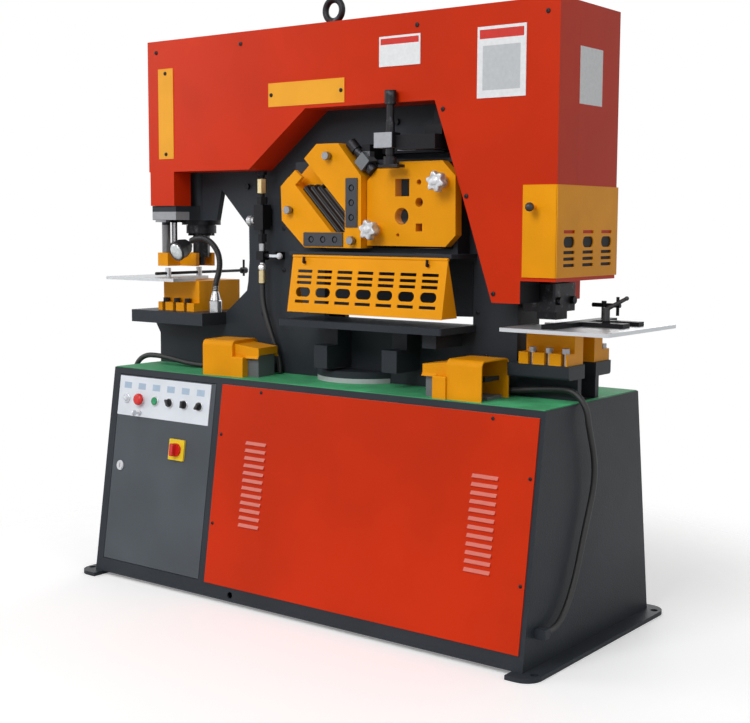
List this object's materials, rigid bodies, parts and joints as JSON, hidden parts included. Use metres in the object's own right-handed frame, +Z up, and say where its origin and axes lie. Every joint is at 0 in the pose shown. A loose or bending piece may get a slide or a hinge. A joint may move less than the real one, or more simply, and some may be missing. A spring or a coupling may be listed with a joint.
{
  "type": "hydraulic ironworker",
  "caption": "Hydraulic ironworker: sloped cabinet, plate frame with a swing beam, and stations for punching, angle, bar and plate shearing and notching.",
  "frame": {"origin": "on the floor, at the centre of the anchor holes", "axes": "+X along the machine towards the notching end, +Y to the back, +Z up"},
  "size_m": [1.871, 0.794, 1.832],
  "materials": {
    "dark_paint": "satin blue-grey enamel",
    "red_paint": "hammered red-orange enamel",
    "door_paint": "satin grey enamel",
    "orange_paint": "glossy orange-yellow enamel",
    "white_paint": "satin white",
    "strip_yellow": "satin yellow and white plates",
    "mat_green": "matte",
    "table_steel": "ground",
    "black_steel": "black oxide",
    "bright_steel": "turned",
    "knob_silver": "satin",
    "red_plastic": "gloss",
    "green_plastic": "gloss",
    "black_plastic": "satin",
    "lamp_body": "satin with a clear lens",
    "neck_black": "ribbed",
    "cable_black": "matte",
    "fitting_black": "satin with brass nuts"
  },
  "bodies": {
    "machine": {"cabinet_shell": "dark_paint", "top_mat": "mat_green", "louvred_panel": "red_paint", "power_pack": "dark_paint", "frame_front": "dark_paint", "frame_rear": "dark_paint", "cylinder_body": "dark_paint", "cover_front": "red_paint", "cover_rear": "red_paint", "name_plates": "strip_yellow", "eyebolt": "black_steel", "ram_guide": "dark_paint", "stripper": "orange_paint", "bolsters": "dark_paint", "die_block_left": "orange_paint", "side_table_left": "table_steel", "lamp_head": "lamp_body", "lamp_arm": "neck_black", "angle_plate": "orange_paint", "angle_blades": "black_steel", "bar_plate": "orange_paint", "hold_down": "black_steel", "shear_table": "dark_paint", "notch_die": "orange_paint", "notch_table": "table_steel", "pedal_guards": "orange_paint", "pedal_bases": "black_plastic", "valve_line": "fitting_black", "hose": "cable_black", "cable_left": "cable_black", "cable_right": "cable_black", "clamp_bolts": "black_steel"},
    "door": {"control_door": "door_paint", "switch_plates": "white_paint"},
    "stop_button": {"stop_button": "red_plastic"},
    "start_button": {"start_button": "green_plastic"},
    "selector_left": {"selector_left": "black_plastic"},
    "selector_middle": {"selector_middle": "black_plastic"},
    "selector_right": {"selector_right": "black_plastic"},
    "key_switch": {"key_switch": "bright_steel"},
    "isolator_knob": {"isolator_knob": "red_plastic"},
    "door_lock": {"door_lock": "bright_steel"},
    "swing_beam": {"swing_beam": "dark_paint"},
    "cylinder_rod": {"cylinder_rod": "bright_steel"},
    "punch_ram": {"punch_ram": "black_steel"},
    "stop_rod": {"stop_rod": "black_steel"},
    "angle_slide": {"angle_slide": "black_steel"},
    "star_knob_upper": {"star_knob_upper": "knob_silver"},
    "star_knob_lower": {"star_knob_lower": "knob_silver"},
    "hold_screw": {"hold_screw": "black_steel"},
    "hold_screw_diagonal": {"hold_screw_diagonal": "black_steel"},
    "shear_guard": {"shear_guard": "orange_paint"},
    "notch_ram": {"notch_ram": "black_steel"},
    "fence": {"fence": "black_steel"},
    "clamp_lever": {"clamp_lever": "black_plastic"},
    "notch_guard": {"notch_guard": "orange_paint"},
    "pedal_left": {"pedal_left": "black_plastic"},
    "pedal_right": {"pedal_right": "black_plastic"},
    "valve_knob": {"valve_knob": "black_plastic"},
    "valve_lever": {"valve_lever": "white_paint"}
  },
  "joints": [
    {"name": "door_hinge", "type": "hinge", "parent": "machine", "child": "door", "pos_m": [-0.3505, -0.30791, 0.35349], "axis": [0, 0.1464, 0.9892], "range_deg": [0, 110]},
    {"name": "lock_turn", "type": "hinge", "parent": "door", "child": "door_lock", "pos_m": [-0.74, -0.31048, 0.36], "axis": [0, -0.9892, 0.1464], "range_deg": [0, 90]},
    {"name": "isolator_turn", "type": "hinge", "parent": "door", "child": "isolator_knob", "pos_m": [-0.488, -0.29923, 0.436], "axis": [0, -0.9892, 0.1464], "range_deg": [0, 90]},
    {"name": "key_turn", "type": "hinge", "parent": "door", "child": "key_switch", "pos_m": [-0.672, -0.28443, 0.536], "axis": [0, -0.9892, 0.1464], "range_deg": [0, 90]},
    {"name": "selector_left_turn", "type": "hinge", "parent": "door", "child": "selector_left", "pos_m": [-0.54, -0.27821, 0.578], "axis": [0, -0.9892, 0.1464], "range_deg": [-45, 45]},
    {"name": "selector_middle_turn", "type": "hinge", "parent": "door", "child": "selector_middle", "pos_m": [-0.474, -0.27821, 0.578], "axis": [0, -0.9892, 0.1464], "range_deg": [-45, 45]},
    {"name": "selector_right_turn", "type": "hinge", "parent": "door", "child": "selector_right", "pos_m": [-0.408, -0.27821, 0.578], "axis": [0, -0.9892, 0.1464], "range_deg": [-45, 45]},
    {"name": "stop_button_push", "type": "slide", "parent": "door", "child": "stop_button", "axis": [0, 0.9892, -0.1464], "range_m": [0, 0.004], "stiffness_N_per_m": 600, "springref_m": -0.001},
    {"name": "start_button_push", "type": "slide", "parent": "door", "child": "start_button", "axis": [0, 0.9892, -0.1464], "range_m": [0, 0.004], "stiffness_N_per_m": 600, "springref_m": -0.001},
    {"name": "punch_stroke", "type": "slide", "parent": "machine", "child": "punch_ram", "axis": [0, 0, -1], "range_m": [0, 0.055]},
    {"name": "beam_swing", "type": "hinge", "parent": "machine", "child": "swing_beam", "pos_m": [-0.48, 0, 1.56], "axis": [0, 1, 0], "range_deg": [0, 1.6]},
    {"name": "cylinder_stroke", "type": "slide", "parent": "machine", "child": "cylinder_rod", "axis": [0, 0, -1], "range_m": [0, 0.03]},
    {"name": "notch_stroke", "type": "slide", "parent": "machine", "child": "notch_ram", "axis": [0, 0, -1], "range_m": [0, 0.033]},
    {"name": "angle_stroke", "type": "slide", "parent": "machine", "child": "angle_slide", "axis": [0.7071, 0, -0.7071], "range_m": [0, 0.0205]},
    {"name": "star_knob_upper_turn", "type": "hinge", "parent": "machine", "child": "star_knob_upper", "pos_m": [0.414, -0.158, 1.262], "axis": [0, -1, 0], "continuous": true},
    {"name": "star_knob_lower_turn", "type": "hinge", "parent": "machine", "child": "star_knob_lower", "pos_m": [0.182, -0.158, 1.129], "axis": [0, -1, 0], "continuous": true},
    {"name": "hold_screw_lift", "type": "slide", "parent": "machine", "child": "hold_screw", "axis": [0, 0, 1], "range_m": [0, 0.02]},
    {"name": "hold_screw_diagonal_lift", "type": "slide", "parent": "machine", "child": "hold_screw_diagonal", "axis": [-0.7071, 0, 0.7071], "range_m": [0, 0.008]},
    {"name": "shear_guard_lift", "type": "hinge", "parent": "machine", "child": "shear_guard", "pos_m": [0.183, -0.195, 1.05], "axis": [-1, 0, 0], "range_deg": [0, 80]},
    {"name": "stop_rod_slide", "type": "slide", "parent": "machine", "child": "stop_rod", "axis": [0, 1, 0], "range_m": [-0.06, 0.035]},
    {"name": "fence_slide", "type": "slide", "parent": "machine", "child": "fence", "axis": [1, 0, 0], "range_m": [-0.012, 0.04]},
    {"name": "clamp_lever_turn", "type": "hinge", "parent": "fence", "child": "clamp_lever", "pos_m": [0.846, -0.014, 0.905], "axis": [0, 0, 1], "range_deg": [-90, 90]},
    {"name": "notch_guard_lift", "type": "slide", "parent": "machine", "child": "notch_guard", "axis": [0, 0, 1], "range_m": [0, 0.06]},
    {"name": "pedal_right_press", "type": "hinge", "parent": "machine", "child": "pedal_right", "pos_m": [0.478, -0.175, 0.714], "axis": [0, 1, 0], "range_deg": [0, 8], "stiffness_Nm_per_rad": 8, "springref_deg": -6.88},
    {"name": "pedal_left_press", "type": "hinge", "parent": "machine", "child": "pedal_left", "pos_m": [-0.30468, -0.15792, 0.714], "axis": [0.1392, -0.9903, 0], "range_deg": [0, 8], "stiffness_Nm_per_rad": 8, "springref_deg": -6.88},
    {"name": "valve_knob_turn", "type": "hinge", "parent": "machine", "child": "valve_knob", "pos_m": [-0.342, -0.092, 1.155], "axis": [1, 0, 0], "continuous": true},
    {"name": "valve_lever_turn", "type": "hinge", "parent": "machine", "child": "valve_lever", "pos_m": [-0.257, -0.104, 1.046], "axis": [0, -1, 0], "range_deg": [0, 90]}
  ],
  "couplings": [
    {"joint": "cylinder_stroke", "follows": "beam_swing", "m_per_rad": 1.04},
    {"joint": "notch_stroke", "follows": "beam_swing", "m_per_rad": 1.135},
    {"joint": "angle_stroke", "follows": "beam_swing", "m_per_rad": 0.7}
  ]
}
